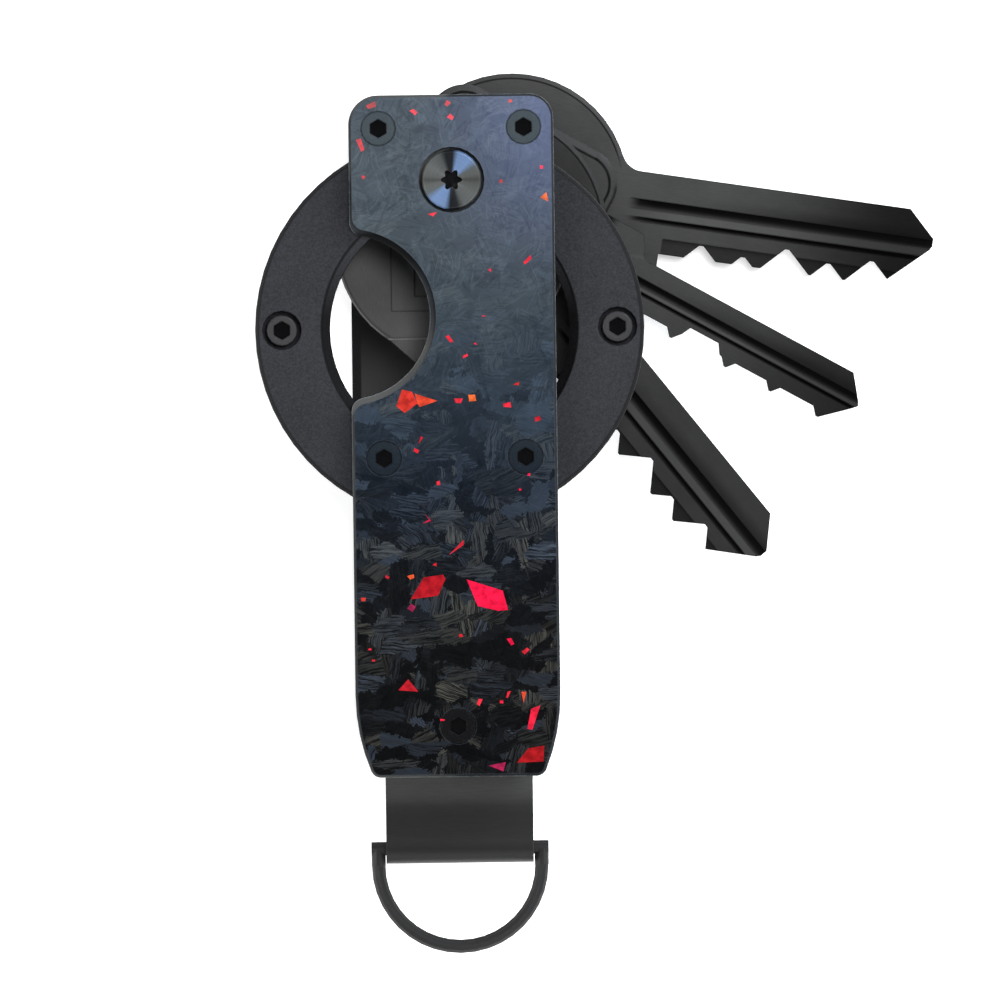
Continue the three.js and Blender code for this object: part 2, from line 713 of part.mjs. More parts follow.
KEYS.forEach((key, layer) => {
  const solid = key.wide ? wideKey(key) : narrowKey();
  const mesh = addPiece(key.name, solid, keyMetal);
  mesh.position.z = BAY_FLOOR + WASHER_THICKNESS + RUNNING_GAP + layer * KEY_PITCH;
  mesh.rotation.z = THREE.MathUtils.degToRad(key.angle);
});

// ---------------------------------------------------------------- lower end

const STRIP_OUTER = STRIP.inner + STRIP.thickness;

function spacer(bottom, top) {
  const { halfWidth, top: upper, bottom: lower, corner } = SPACER;
  const outline = [
    ...arc(halfWidth - corner, upper - corner, corner, 0, 90),
    ...arc(corner - halfWidth, upper - corner, corner, 90, 180),
    ...arc(corner - halfWidth, lower + corner, corner, 180, 270),
    ...arc(halfWidth - corner, lower + corner, corner, 270, 360),
  ];
  return cut(plate(outline, bottom, top), screwPassage());
}

function screwPassage() {
  return disc(SCREW.shank + SCREW_CLEARANCE, 0, FRONT_FACE, BOTTOM_SCREW);
}

// The strip goes down in front, round the bar of the D-ring and up again behind.
function foldedStrip() {
  const level = STRIP_LEVEL;
  const outline = [
    new THREE.Vector2(STRIP.top, level + STRIP_OUTER),
    ...arc(D_RING.bar, level, STRIP_OUTER, 90, 270),
    new THREE.Vector2(STRIP.top, level - STRIP_OUTER),
    new THREE.Vector2(STRIP.top, level - STRIP.inner),
    ...arc(D_RING.bar, level, STRIP.inner, 270, 90),
    new THREE.Vector2(STRIP.top, level + STRIP.inner),
  ];
  const geometry = new THREE.ExtrudeGeometry(new THREE.Shape(outline), {
    depth: 2 * STRIP.halfWidth,
    bevelEnabled: false,
  });
  // Drawn as (y, z) and pulled out along x.
  const alongX = new THREE.Matrix4().makeBasis(
    new THREE.Vector3(0, 1, 0),
    new THREE.Vector3(0, 0, 1),
    new THREE.Vector3(1, 0, 0),
  );
  geometry.applyMatrix4(alongX).translate(-STRIP.halfWidth, 0, 0);
  return cut(solidOf(geometry), screwPassage());
}

// A rod of round section between two points, with round ends.
function rod(from, to) {
  const length = from.distanceTo(to);
  const geometry = new THREE.CapsuleGeometry(D_RING.rod, length, 2, ROD_SIDES);
  const direction = new THREE.Vector3().subVectors(to, from).normalize();
  const turn = new THREE.Quaternion().setFromUnitVectors(new THREE.Vector3(0, 1, 0), direction);
  const middle = new THREE.Vector3().addVectors(from, to).multiplyScalar(0.5);
  geometry.applyQuaternion(turn).translate(middle.x, middle.y, middle.z);
  return solidOf(geometry);
}

// The straight side of the D-ring, cut off square at both ends.
function bar(radius, halfLength, y) {
  const geometry = new THREE.CylinderGeometry(radius, radius, 2 * halfLength, ROD_SIDES);
  return solidOf(geometry.rotateZ(Math.PI / 2).translate(0, y, STRIP_LEVEL));
}

function dRing() {
  const { rod: radius, halfWidth, bar: barLevel, arc: arcLevel } = D_RING;
  const corner = (side) => new THREE.Vector3(side * halfWidth, barLevel, STRIP_LEVEL);
  const foot = (side) => new THREE.Vector3(side * halfWidth, arcLevel, STRIP_LEVEL);
  const bend = new THREE.CatmullRomCurve3(
    arc(0, arcLevel, halfWidth, 180, 360).map(({ x, y }) => new THREE.Vector3(x, y, STRIP_LEVEL)),
  );
  const section = new THREE.Shape().absarc(0, 0, radius, 0, 2 * Math.PI);
  const geometry = new THREE.ExtrudeGeometry(section, {
    steps: BEND_STEPS,
    curveSegments: ROD_SIDES / 2,
    extrudePath: bend,
  });
  return joined(
    solidOf(geometry),
    bar(radius, halfWidth + radius, barLevel),
    rod(corner(-1), foot(-1)),
    rod(corner(1), foot(1)),
  );
}

addPiece('spacer_rear', spacer(BAY_FLOOR, STRIP_LEVEL - STRIP_OUTER), frameMetal);
addPiece('spacer_tongue', spacer(STRIP_LEVEL - STRIP.inner, STRIP_LEVEL + STRIP.inner), frameMetal);
addPiece('spacer_front', spacer(STRIP_LEVEL + STRIP_OUTER, RING_FRONT), frameMetal);
addPiece('loop_strip', foldedStrip(), stripMetal);
addPiece('d_ring', dRing(), stripMetal);

export default organiser;
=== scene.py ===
"""A key organiser lying on its back: the looks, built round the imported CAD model."""

import math
import random

import bmesh
import bpy
from mathutils import Matrix, Vector


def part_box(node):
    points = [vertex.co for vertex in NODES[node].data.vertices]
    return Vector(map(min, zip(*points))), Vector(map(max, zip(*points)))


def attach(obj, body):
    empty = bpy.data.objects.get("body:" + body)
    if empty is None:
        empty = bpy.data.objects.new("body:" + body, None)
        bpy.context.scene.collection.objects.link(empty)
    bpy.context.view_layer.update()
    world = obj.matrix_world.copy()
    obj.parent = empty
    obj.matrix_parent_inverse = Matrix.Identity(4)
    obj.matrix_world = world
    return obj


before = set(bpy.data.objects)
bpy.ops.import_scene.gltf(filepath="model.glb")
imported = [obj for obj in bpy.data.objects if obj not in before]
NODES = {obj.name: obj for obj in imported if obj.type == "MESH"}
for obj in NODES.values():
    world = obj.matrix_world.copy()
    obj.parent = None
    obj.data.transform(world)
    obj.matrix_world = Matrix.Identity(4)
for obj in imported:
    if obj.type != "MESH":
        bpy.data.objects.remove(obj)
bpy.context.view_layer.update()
MM = 0.001

COVER_LOW, COVER_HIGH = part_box("front_cover")
FRONT_FACE = COVER_HIGH.z
MIDDLE_LEVEL = FRONT_FACE / MM / 2
RING_LOW, RING_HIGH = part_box("tag_ring_front")
RING_CENTRE = (RING_LOW + RING_HIGH) / 2

# ------------------------------------------------------------------ camera and light

CAMERA_DISTANCE = 3.0
SENSOR = 36.0
FRAME_WIDTH = 0.11905
LOOK_AT = Vector((0.0053, -0.0382, FRONT_FACE))
CAMERA_ROLL = math.radians(-0.73)


def make_camera():
    data = bpy.data.cameras.new("camera")
    data.sensor_width = SENSOR
    data.lens = SENSOR * CAMERA_DISTANCE / FRAME_WIDTH
    data.clip_start = 0.05
    data.clip_end = 20.0
    camera = bpy.data.objects.new("camera", data)
    camera.location = LOOK_AT + Vector((0, 0, CAMERA_DISTANCE))
    camera.rotation_euler = (0, 0, CAMERA_ROLL)
    bpy.context.scene.collection.objects.link(camera)
    bpy.context.scene.camera = camera


def area_light(name, place, target, size, power, colour):
    data = bpy.data.lights.new(name, "AREA")
    data.shape = "DISK"
    data.size = size
    data.energy = power
    data.color = colour
    light = bpy.data.objects.new(name, data)
    light.location = place
    direction = Vector(target) - Vector(place)
    light.rotation_euler = direction.to_track_quat("-Z", "Y").to_euler()
    bpy.context.scene.collection.objects.link(light)
    return light


def make_studio():
    """Soft light from all round, with a darker ceiling, so that flat faces keep their own colour."""
    world = bpy.data.worlds.new("studio")
    world.use_nodes = True
    nodes, links = world.node_tree.nodes, world.node_tree.links
    direction = nodes.new("ShaderNodeTexCoord").outputs["Generated"]
    split = nodes.new("ShaderNodeSeparateXYZ")
    fade = nodes.new("ShaderNodeMapRange")
    fade.interpolation_type = "SMOOTHSTEP"
    for index, value in enumerate((0.50, 0.95, 1.25, 0.06), start=1):
        fade.inputs[index].default_value = value
    links.new(direction, split.inputs[0])
    links.new(split.outputs["Z"], fade.inputs[0])
    background = nodes["Background"]
    background.inputs["Color"].default_value = (0.96, 0.98, 1.0, 1)
    links.new(fade.outputs[0], background.inputs["Strength"])
    bpy.context.scene.world = world
    bpy.context.scene.view_settings.view_transform = "Standard"
    area_light("key_light", (0.45, 0.50, 0.42), (0, -0.02, 0.02), 0.5, 5.0, (0.90, 0.95, 1.0))
    area_light("side_light", (-0.8, -0.1, 0.5), (0, -0.03, 0), 0.6, 5.0, (1.0, 0.99, 0.97))
    area_light("low_light", (0.45, -0.7, 0.45), (0, -0.03, 0), 0.6, 4.0, (1.0, 0.99, 0.98))
    top = area_light("top_light", (0.19, 0.17, 1.2), (0, -0.03, 0), 0.4, 14.0, (1.0, 1.0, 1.0))
    top.visible_glossy = False


# ------------------------------------------------------------------ node helpers


class Tree:
    """A material's node tree, with short calls for the nodes that are used here."""

    def __init__(self, name):
        self.material = bpy.data.materials.new(name)
        self.material.use_nodes = True
        self.nodes = self.material.node_tree.nodes
        self.links = self.material.node_tree.links
        self.shader = self.nodes["Principled BSDF"]
        self.coords = self.nodes.new("ShaderNodeTexCoord").outputs["Object"]
        self.place = self.stretched(self.coords, 1 / MM, 1 / MM, 1 / MM)

    def put(self, socket, value):
        if isinstance(value, bpy.types.NodeSocket):
            self.links.new(value, socket)
        else:
            socket.default_value = value

    def node(self, kind, inputs=None, **settings):
        node = self.nodes.new(kind)
        for key, value in settings.items():
            setattr(node, key, value)
        for key, value in (inputs or {}).items():
            self.put(node.inputs[key], value)
        return node

    def vector_maths(self, operation, *inputs):
        node = self.node("ShaderNodeVectorMath", dict(enumerate(inputs)), operation=operation)
        return node.outputs["Vector"]

    def stretched(self, vector, x, y, z):
        return self.vector_maths("MULTIPLY", vector, (x, y, z))

    def moved(self, vector, shift):
        return self.vector_maths("ADD", vector, shift)

    def warped(self, vector, scale, amount, detail=2.0):
        """Pushes each place to and fro in X and Y by a noise."""
        offset = self.noise(vector, scale, detail).outputs["Color"]
        centred = self.vector_maths("SUBTRACT", offset, (0.5, 0.5, 0.5))
        return self.vector_maths("MULTIPLY_ADD", centred, (amount, amount, 0), vector)

    def turned(self, vector, angle):
        inputs = {"Vector": vector, "Angle": angle}
        return self.node("ShaderNodeVectorRotate", inputs, rotation_type="Z_AXIS").outputs["Vector"]

    def parts(self, vector):
        node = self.node("ShaderNodeSeparateXYZ", {0: vector})
        return node.outputs["X"], node.outputs["Y"], node.outputs["Z"]

    def maths(self, operation, a, b=0.0, c=0.0):
        return self.node("ShaderNodeMath", {0: a, 1: b, 2: c}, operation=operation).outputs[0]

    def times(self, first, *others):
        """The product of all the values."""
        for other in others:
            first = self.maths("MULTIPLY", first, other)
        return first

    def gap(self, value, centre):
        """How far a value is from a centre, on either side."""
        return self.maths("ABSOLUTE", self.maths("SUBTRACT", value, centre))

    def length(self, x, y):
        """Length of the flat vector (x, y)."""
        flat = self.node("ShaderNodeCombineXYZ", {0: x, 1: y}).outputs[0]
        return self.node("ShaderNodeVectorMath", {0: flat}, operation="LENGTH").outputs["Value"]

    def noise(self, vector, scale, detail=2.0, rough=0.5):
        inputs = {"Vector": vector, "Scale": scale, "Detail": detail, "Roughness": rough}
        return self.node("ShaderNodeTexNoise", inputs)

    def cells(self, vector, scale):
        return self.node("ShaderNodeTexVoronoi", {"Vector": vector, "Scale": scale})

    def ramp(self, value, *stops):
        """A colour ramp. Each stop is (position, colour), with a colour of 3 numbers or a grey."""
        node = self.node("ShaderNodeValToRGB", {0: value})
        elements = node.color_ramp.elements
        while len(elements) < len(stops):
            elements.new(0.5)
        for element, (position, colour) in zip(elements, stops):
            element.position = position
            grey = isinstance(colour, (int, float))
            element.color = (colour, colour, colour, 1) if grey else (*colour, 1)
        return node.outputs["Color"]

    def span(self, value, low, high, new_low=0.0, new_high=1.0, smooth=False):
        """Maps low..high to new_low..new_high, clamped."""
        kind = "SMOOTHSTEP" if smooth else "LINEAR"
        node = self.node("ShaderNodeMapRange", {0: value}, interpolation_type=kind)
        for index, number in enumerate((low, high, new_low, new_high), start=1):
            self.put(node.inputs[index], number)
        return node.outputs[0]

    def mix(self, factor, a, b, blend="MIX"):
        node = self.node("ShaderNodeMix", data_type="RGBA", blend_type=blend)
        for key, value in ((0, factor), (6, a), (7, b)):
            if isinstance(value, tuple) and len(value) == 3:
                value = (*value, 1)
            self.put(node.inputs[key], value)
        return node.outputs[2]

    def toned(self, colour, tone):
        """The colour times a tone between 0 and 2."""
        grey = self.ramp(self.maths("MULTIPLY", tone, 0.5), (0, 0.0), (1, 2.0))
        return self.mix(1.0, colour, grey, "MULTIPLY")

    def bump(self, height, strength, distance):
        inputs = {"Height": height, "Strength": strength, "Distance": distance}
        return self.node("ShaderNodeBump", inputs).outputs["Normal"]

    def finish(self, colour=None, roughness=None, normal=None, **constants):
        sockets = self.shader.inputs
        if colour is not None:
            self.put(sockets["Base Color"], colour)
        if roughness is not None:
            self.put(sockets["Roughness"], roughness)
        if normal is not None:
            self.put(sockets["Normal"], normal)
        for key, value in constants.items():
            sockets[key.replace("_", " ")].default_value = value
        return self.material


# ------------------------------------------------------------------ materials


def edge_mask(tree, width):
    """1 near sharp edges and 0 on flat stretches, from a rounded normal."""
    rounded = tree.node("ShaderNodeBevel", {"Radius": width}, samples=4).outputs[0]
    normal = tree.node("ShaderNodeNewGeometry").outputs["Normal"]
    likeness = tree.node("ShaderNodeVectorMath", {0: rounded, 1: normal}, operation="DOT_PRODUCT")
    return tree.span(likeness.outputs["Value"], 0.995, 0.9, smooth=True)


# The resin's tone along the cover, with a painted sheen that brightens it towards the pivot: a place (mm)
# and a colour, from the pivot end down.
RESIN_AND_SHEEN_TONES = (
    (10.0, (0.0400, 0.0500, 0.0610)),
    (-9.5, (0.0310, 0.0390, 0.0460)),
    (-19.0, (0.0190, 0.0265, 0.0350)),
    (-26.0, (0.0138, 0.0195, 0.0275)),
    (-34.0, (0.0098, 0.0138, 0.0205)),
    (-43.0, (0.0074, 0.0092, 0.0122)),
    (-55.0, (0.0062, 0.0065, 0.0072)),
    (-71.0, (0.0050, 0.0053, 0.0060)),
)
# The layers of chopped tow, and the hairs between them: the direction of each, in degrees.
TOW_DIRECTIONS = (10, 80, -60, 55, -22, 36, 100, -5)
HAIR_DIRECTIONS = (18, -35, 70, 112)


def tow_layers(tree, bent):
    """Chips of tow, one layer over another: how lit each place is, its tint and its strands."""
    curled = tree.warped(bent, 0.5, 0.75)
    frayed = tree.warped(tree.warped(bent, 0.8, 1.4), 3.5, 1.1, 4.0)
    lit, tint, grain = 0.0, 0.5, 0.5
    for index, direction in enumerate(TOW_DIRECTIONS):
        shift = (17.0 * index, -11.0 * index - 4.8, 5.0 * index)
        angle = math.radians(direction)
        ragged = tree.stretched(tree.turned(tree.moved(frayed, shift), angle), 0.25, 0.60, 0.25)
        shows, bright, hue = tree.parts(tree.cells(ragged, 1.0).outputs["Color"])
        swing = tree.maths("MULTIPLY_ADD", hue, 0.9, angle - 0.45)
        lined = tree.stretched(tree.turned(tree.moved(curled, shift), swing), 0.34, 6.0, 0.25)
        strand = tree.noise(lined, 1.0, 3.0, 0.65).outputs["Fac"]
        # The bluest chips lie flat under the resin and look smooth.
        strand = tree.span(tree.span(hue, 0.80, 0.90, 0.0, 0.7), 0, 1, strand, 0.55)
        glint = tree.times(tree.span(strand, 0.42, 0.66, 0.04, 1.7), tree.maths("POWER", bright, 2.2))
        here = tree.maths("GREATER_THAN", shows, 0.40)
        lit = tree.span(here, 0, 1, lit, glint)
        tint = tree.span(here, 0, 1, tint, hue)
        grain = tree.span(here, 0, 1, grain, strand)
    return lit, tint, grain


def hairs(tree, bent, shift, spacing, width):
    """Thin curved lines in several directions, each direction in its own patches."""
    total = 0.0
    for index, direction in enumerate(HAIR_DIRECTIONS):
        place = tree.moved(bent, (shift + 13.0 * index, 7.0 * index, 0))
        lined = tree.stretched(tree.turned(place, math.radians(direction)), 0.17, 1 / spacing, 0.2)
        wave = tree.noise(lined, 1.0, 1.0).outputs["Fac"]
        ridge = tree.span(tree.gap(wave, 0.5), width, 0.0, smooth=True)
        patch = tree.span(tree.noise(place, 0.26, 1.0).outputs["Fac"], 0.48, 0.60, smooth=True)
        total = tree.maths("MAXIMUM", total, tree.times(ridge, patch))
    return total


def forged_carbon():
    """Chopped carbon tow in resin. Each chip has its own grain direction and tint, and a painted glint that
    sets its tone; a painted sheen lies over the cover towards the pivot.
    """
    tree = Tree("forged_carbon")
    across, along, _ = tree.parts(tree.place)
    bent = tree.warped(tree.place, 0.16, 1.3)
    lit, tint, grain = tow_layers(tree, bent)
    pale = hairs(tree, bent, 0.0, 1.2, 0.045)
    dark = hairs(tree, bent, 57.0, 1.0, 0.05)

    # The resin's colour, brightened towards the pivot by a painted sheen.
    low, high = RESIN_AND_SHEEN_TONES[-1][0], RESIN_AND_SHEEN_TONES[0][0]
    drift = tree.maths("MULTIPLY_ADD", tree.noise(bent, 0.16).outputs["Fac"], 12.0, -6.0)
    level = tree.span(tree.maths("ADD", along, drift), low, high)
    stops = [((place - low) / (high - low), tone) for place, tone in reversed(RESIN_AND_SHEEN_TONES)]
    resin = tree.ramp(level, *stops)

    # Near the pivot, under the painted sheen, chips only show as fine pale and dark hairs.
    under_sheen = tree.span(along, -44.0, -14.0, smooth=True)
    shade = tree.ramp(tint, (0.2, (1.0, 0.98, 0.78)), (0.5, (0.80, 0.86, 0.88)),
                      (0.8, (0.56, 0.78, 1.15)))
    fibre_glint = tree.toned(shade, tree.times(lit, tree.span(under_sheen, 0, 1, 0.022, 0.008)))
    least = tree.span(under_sheen, 0, 1, 0.42, 0.88)
    rise = tree.span(under_sheen, 0, 1, 0.58, 0.12)
    tone = tree.maths("MULTIPLY_ADD", tree.span(lit, 0.0, 0.3), rise, least)
    tone = tree.maths("MULTIPLY_ADD", pale, tree.span(under_sheen, 0, 1, 0.15, 0.26), tone)
    tone = tree.maths("MULTIPLY_ADD", dark, tree.span(under_sheen, 0, 1, -0.10, -0.22), tone)
    colour = tree.mix(1.0, tree.toned(resin, tone), fibre_glint, "ADD")

    # A painted bluish sheen lies over the corner beyond the pivot, on the right.
    blue_sheen = tree.times(tree.span(across, -6.0, 13.0, smooth=True),
                      tree.span(along, -16.0, 9.0, smooth=True))
    colour = tree.mix(blue_sheen, colour, (0.020, 0.024, 0.060), "ADD")
    edged = tree.mix(tree.times(edge_mask(tree, 0.00018), 0.35), colour, (0.05, 0.06, 0.07))
    normal = tree.bump(tree.maths("ADD", grain, pale), 0.08, 0.0002)
    return tree.finish(edged, tree.span(grain, 0.2, 0.8, 0.38, 0.5), normal, Coat_Weight=0.2,
                       Coat_IOR=1.35, Coat_Roughness=0.15, Specular_IOR_Level=0.0)


def coated_metal(name, colour, roughness, metallic, wear=0.35, wear_colour=(0.22, 0.22, 0.23),
                 specular=0.5):
    """Metal with a thin dark coating: fine grain, slow clouds, and bright worn edges."""
    tree = Tree(name)
    speckle = tree.noise(tree.place, 6.0, 3.0, 0.6).outputs["Fac"]
    cloud = tree.noise(tree.place, 0.12).outputs["Fac"]
    tone = tree.maths("ADD", tree.span(cloud, 0.3, 0.7, 0.86, 1.14),
                      tree.span(speckle, 0.3, 0.7, -0.09, 0.09))
    patchy = tree.span(tree.noise(tree.place, 1.6, 3.0).outputs["Fac"], 0.35, 0.65)
    edge = tree.times(edge_mask(tree, 0.00014), patchy, wear)
    edged = tree.mix(edge, tree.toned(colour, tone), wear_colour)
    return tree.finish(edged, tree.span(speckle, 0.3, 0.7, roughness - 0.05, roughness + 0.06),
                       tree.bump(speckle, 0.06, 0.0001), Metallic=metallic, Specular_IOR_Level=specular)


# Radii of the tag ring's front (mm): the lip, the line round the lip, and the outer edge.
LIP_RADIUS = 15.15
LIP_LINE = 15.25
FACE_RADIUS = 22.6
SIDE_RADIUS = 23.05


def ring_metal():
    """Blasted and anodised aluminium: a fine even grain."""
    tree = Tree("ring_metal")
    x, y, _ = tree.parts(tree.place)
    away_x = tree.maths("SUBTRACT", x, RING_CENTRE.x / MM)
    away_y = tree.maths("SUBTRACT", y, RING_CENTRE.y / MM)
    radius = tree.length(away_x, away_y)
    grain = tree.noise(tree.place, 4.5, 5.0, 0.8).outputs["Fac"]
    pits = tree.cells(tree.place, 5.0).outputs["Distance"]
    cloud = tree.noise(tree.place, 0.09).outputs["Fac"]
    speck = tree.maths("ADD", tree.span(grain, 0.38, 0.62, 0.6, 1.4),
                       tree.span(cloud, 0.3, 0.7, -0.1, 0.1))
    base = tree.toned((0.0175, 0.0180, 0.0208), speck)
    # Painted shade: the lip is dark away from the pivot, with a dark line round it.
    lip = tree.span(radius, LIP_RADIUS, LIP_RADIUS + 0.25, tree.span(y, -16.0, -8.0, 0.16, 1.35), 1)
    line = tree.span(tree.gap(radius, LIP_LINE), 0.10, 0.20, 0.2, 1)
    # Painted shade: the front edge is dark, and the side of the ring is only a little darker than its face.
    face = tree.span(radius, FACE_RADIUS + 0.2, FACE_RADIUS, 0.15, 1)
    side = tree.span(radius, SIDE_RADIUS, SIDE_RADIUS + 0.07, 0, 0.5)
    shaded = tree.toned(base, tree.times(lip, line, tree.maths("MAXIMUM", face, side)))
    height = tree.maths("MULTIPLY_ADD", pits, 0.4, grain)
    return tree.finish(shaded, tree.span(grain, 0.3, 0.7, 0.55, 0.7), tree.bump(height, 0.3, 0.00015),
                       Metallic=0.1, Specular_IOR_Level=0.15)


# The sheen of the turned face, over half a turn anticlockwise from +X; it repeats on the other half.
SHEEN_FANS = (
    (0.00, (0.045, 0.048, 0.047)),
    (0.07, (0.078, 0.082, 0.078)),
    (0.16, (0.075, 0.085, 0.090)),
    (0.25, (0.120, 0.190, 0.340)),
    (0.41, (0.110, 0.175, 0.310)),
    (0.48, (0.006, 0.007, 0.009)),
    (0.57, (0.006, 0.007, 0.009)),
    (0.65, (0.060, 0.066, 0.066)),
    (0.82, (0.085, 0.090, 0.088)),
    (0.94, (0.070, 0.074, 0.072)),
    (1.00, (0.045, 0.048, 0.047)),
)


def turned_steel():
    """Polished dark steel, faced on a lathe: rings round the pivot axis and fans of sheen."""
    tree = Tree("turned_steel")
    x, y, z = tree.parts(tree.place)
    radius = tree.node("ShaderNodeCombineXYZ", {0: tree.length(x, y)}).outputs[0]
    groove = tree.noise(radius, 9.0, 4.0, 0.7).outputs["Fac"]
    tangent = tree.node("ShaderNodeTangent", direction_type="RADIAL", axis="Z").outputs[0]
    tree.put(tree.shader.inputs["Tangent"], tangent)
    half_turn = tree.maths("FRACT", tree.maths("DIVIDE", tree.maths("ARCTAN2", y, x), math.pi))
    rings = tree.ramp(groove, (0.3, 0.75), (0.7, 1.15))
    sheen = tree.mix(1.0, tree.ramp(half_turn, *SHEEN_FANS), rings, "MULTIPLY")
    # Painted shade: the walls and the floor of the star recess are black.
    on_face = tree.span(tree.gap(z, MIDDLE_LEVEL), 11.0, 11.25)
    tone = tree.mix(on_face, (0.004, 0.004, 0.005), sheen)
    return tree.finish(tone, 0.34, tree.bump(groove, 0.10, 0.00005), Metallic=0.4, Anisotropic=0.8)


# Keys are drawn from the pivot (mm): u runs along the blade and v across it, away from the cuts.
# The two channels of a wide blade and of a narrow one: their lower and upper edges.
KEY_GROOVES = {
    True: ((-0.10, 1.12), (-1.62, -1.02)),
    False: ((-0.38, 0.64), (-1.27, -0.83)),
}
GROOVE_START = 21.0
# The thinner strip along the cut edge: its upper edge, and where it starts.
KEY_LANDS = {"key_top": -3.3, "key_lower": -3.3, "key_folded": -2.05}
LAND_START = 26.0
STEP_LINE = 18.78
BOW_END = 20.0
# The bows: a round one, by centre and radius, and a squarer one, by centre, half size and corner.
ROUND_BOW = (7.26, 14.0)
SQUARE_BOW = (5.8, 12.3, 11.5, 4.4)
# The dark line round each kind of bow: how far inside the edge, its half width and its strength.
BOW_LINES = {True: (0.62, 0.13, 0.85), False: (0.92, 0.24, 0.97)}
# The keys' grey, before each key's gain.
KEY_TONE = 0.037


def inside_bow(tree, u, v, wide):
    """How far a point lies inside the bow's outline, in mm."""
    if wide:
        centre, radius = ROUND_BOW
        across, above = tree.maths("SUBTRACT", u, centre), v
    else:
        centre, half_length, half_width, radius = SQUARE_BOW
        across = tree.maths("SUBTRACT", tree.gap(u, centre), half_length - radius)
        across = tree.maths("MAXIMUM", across, 0.0)
        above = tree.maths("SUBTRACT", tree.maths("ABSOLUTE", v), half_width - radius)
        above = tree.maths("MAXIMUM", above, 0.0)
    return tree.maths("SUBTRACT", radius, tree.length(across, above))


def channel_shade(tree, u, v, wide):
    """Black under each channel's upper edge, fading towards its lower edge."""
    dark = 0.0
    for low, high in KEY_GROOVES[wide]:
        width = high - low
        inside = tree.times(tree.span(v, low - 0.25 * width, low + 0.6 * width, smooth=True),
                            tree.span(v, high + 0.08, high - 0.08, smooth=True))
        dark = tree.maths("MAXIMUM", dark, inside)
    return tree.times(dark, tree.span(u, GROOVE_START, GROOVE_START + 1.8, smooth=True))


def bow_shade(tree, u, v, wide):
    """The dark line round a bow, and the narrow key's dark outer edge next to its neck."""
    depth = inside_bow(tree, u, v, wide)
    inset, half_width, strength = BOW_LINES[wide]
    dark = tree.span(tree.gap(depth, inset), half_width, 0.4 * half_width, 0, strength)
    if not wide:
        edge = tree.times(tree.span(depth, 0.42, 0.25, 0, 0.9), tree.span(v, 9.5, 8.5))
        dark = tree.maths("MAXIMUM", dark, edge)
    return tree.times(dark, tree.span(u, BOW_END, BOW_END - 1))


def key_shade(tree, name, u, v, wide):
    """How dark each place of a key is: channels, thinned strip, bow and edges."""
    shades = [channel_shade(tree, u, v, wide)]
    if name in KEY_LANDS:
        edge = KEY_LANDS[name]
        shades.append(tree.times(tree.span(v, edge + 0.06, edge - 0.06),
                                 tree.span(u, LAND_START - 0.1, LAND_START + 0.1), 0.58))
    # Painted shade: the blade darkens towards the upper channel, more so near the tip.
    top = KEY_GROOVES[wide][0][1]
    shades.append(tree.times(tree.span(v, top + 1.7, top, 0, 0.6, smooth=True),
                             tree.span(v, top - 0.3, top), tree.span(u, 26.0, 46.0)))
    shades.append(tree.times(edge_mask(tree, 0.00022), 0.75))
    if name != "key_folded":
        shades.append(bow_shade(tree, u, v, wide))
    # Painted shade on faces that slope away from the front.
    facing = tree.parts(tree.node("ShaderNodeNewGeometry").outputs["Normal"])[2]
    shades.append(tree.span(tree.maths("ABSOLUTE", facing), 0.99, 0.93, 0, 0.3))
    dark = 0.0
    for shade in shades:
        dark = tree.maths("MAXIMUM", dark, shade)
    return dark


def key_metal(name, angle, wide, gain, tip_gain):
    """Satin grey coating, with painted shade in the key's channels, and darker along its cut edges."""
    tree = Tree(name + "_metal")
    local = tree.turned(tree.place, -angle)
    u, v, _ = tree.parts(local)
    grain = tree.noise(tree.stretched(local, 1.2, 9.0, 1), 1.0, 3.0).outputs["Fac"]
    cloud = tree.noise(local, 0.16).outputs["Fac"]
    cut_side = tree.times(tree.span(v, -0.9, -1.2), tree.span(u, 27.0, 34.0))
    tone = tree.times(tree.span(u, 31.0, 55.0, 1.0, tip_gain, smooth=True),
                      tree.span(cut_side, 0, 1, 1.0, 0.9), KEY_TONE * gain,
                      tree.span(cloud, 0.3, 0.7, 0.9, 1.1), tree.span(grain, 0.3, 0.7, 0.92, 1.08))
    tone = tree.times(tone, tree.span(key_shade(tree, name, u, v, wide), 0, 1, 1, 0.03))
    # The rib between the two channels catches the light.
    (upper, _), (_, lower) = KEY_GROOVES[wide]
    rib = tree.times(tree.span(v, upper + 0.45, upper - 0.15, smooth=True),
                     tree.span(v, lower - 0.05, lower + 0.15),
                     tree.span(u, GROOVE_START, GROOVE_START + 6.0))
    tone = tree.maths("MULTIPLY_ADD", rib, 0.012, tone)
    if name == "key_folded":
        # Its step and its rim catch the light too.
        step = tree.span(tree.gap(u, STEP_LINE), 0.13, 0.07)
        rim = tree.times(tree.span(inside_bow(tree, u, v, wide), 0.28, 0.16), tree.span(u, 19.0, 18.0))
        tone = tree.times(tone, tree.span(u, 11.0, 19.0, 0.8, 1.06, smooth=True))
        tone = tree.maths("MULTIPLY_ADD", step, 0.10, tone)
        tone = tree.maths("MULTIPLY_ADD", rim, 0.09, tone)
    grey = tree.ramp(tone, (0, 0.0), (1, 1.0))
    return tree.finish(grey, tree.span(grain, 0.3, 0.7, 0.45, 0.55), tree.bump(grain, 0.05, 0.0001),
                       Metallic=0.1, Specular_IOR_Level=0.15)


# The foil's hues, from magenta to orange.
FOIL_HUES = (
    (0.0, (0.18, 0.010, 0.042)),
    (0.2, (0.56, 0.006, 0.036)),
    (0.4, (0.46, 0.016, 0.028)),
    (0.6, (0.21, 0.004, 0.007)),
    (0.8, (0.40, 0.026, 0.016)),
    (1.0, (0.50, 0.090, 0.020)),
)


